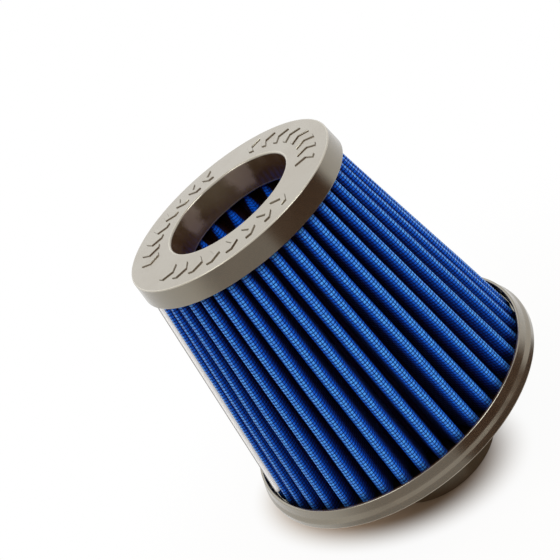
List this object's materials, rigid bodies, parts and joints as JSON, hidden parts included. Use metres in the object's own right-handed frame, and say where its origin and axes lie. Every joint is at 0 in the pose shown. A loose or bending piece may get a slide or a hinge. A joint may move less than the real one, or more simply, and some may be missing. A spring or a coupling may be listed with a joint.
{
  "type": "cone air filter",
  "caption": "Clamp-on cone air filter: moulded top ring with an open centre, pleated blue mesh cone, inverted inner cone and base ring with a round neck.",
  "frame": {"origin": "centre of the neck's mouth, where the filter stands", "axes": "+Z along the filter's axis from the neck to the top ring; +X and +Y across it, a crest of the outer folds on each"},
  "size_m": [0.15, 0.15, 0.1695],
  "materials": {
    "ring_moulding": "satin taupe moulded polyurethane",
    "filter_mesh": "blue woven mesh, folded",
    "clip_metal": "bright folded strip"
  },
  "bodies": {
    "root": {"top_ring": "ring_moulding", "base_ring": "ring_moulding", "cone_cap": "ring_moulding", "outer_pleats": "filter_mesh", "inner_pleats": "filter_mesh", "outer_seam_clip": "clip_metal", "inner_seam_clip": "clip_metal"}
  },
  "joints": []
}
